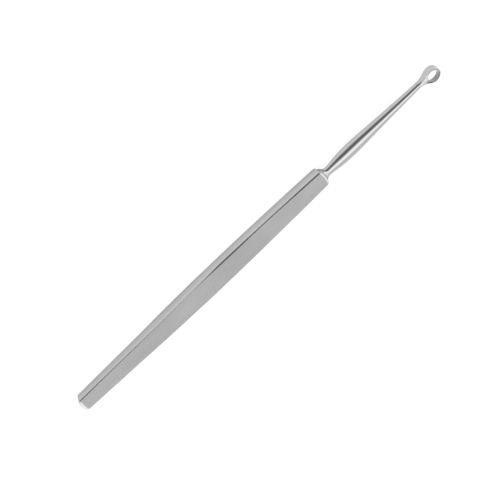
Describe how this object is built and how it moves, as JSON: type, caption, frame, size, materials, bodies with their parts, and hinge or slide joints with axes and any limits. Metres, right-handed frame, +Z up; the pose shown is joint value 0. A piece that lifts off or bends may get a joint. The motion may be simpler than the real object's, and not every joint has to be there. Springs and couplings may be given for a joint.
{
  "type": "dermal ring curette",
  "caption": "Steel hand curette: flat lens-shaped handle, swelled shank and a sharp ring-shaped cutting head.",
  "frame": {"origin": "centre of the instrument's length, on the plane of the handle's flat underside", "axes": "+X along the instrument towards the ring, +Y across the handle, +Z up out of the handle's broad face"},
  "size_m": [0.1398, 0.0076, 0.0037],
  "materials": {
    "handle_steel": "satin, matt-polished flat faces with softened edges",
    "shank_steel": "fine polish, brighter than the handle",
    "ring_steel": "fine ground, with a sharp lower rim"
  },
  "bodies": {
    "root": {"handle": "handle_steel", "shank": "shank_steel", "cutting_ring": "ring_steel"}
  },
  "joints": []
}
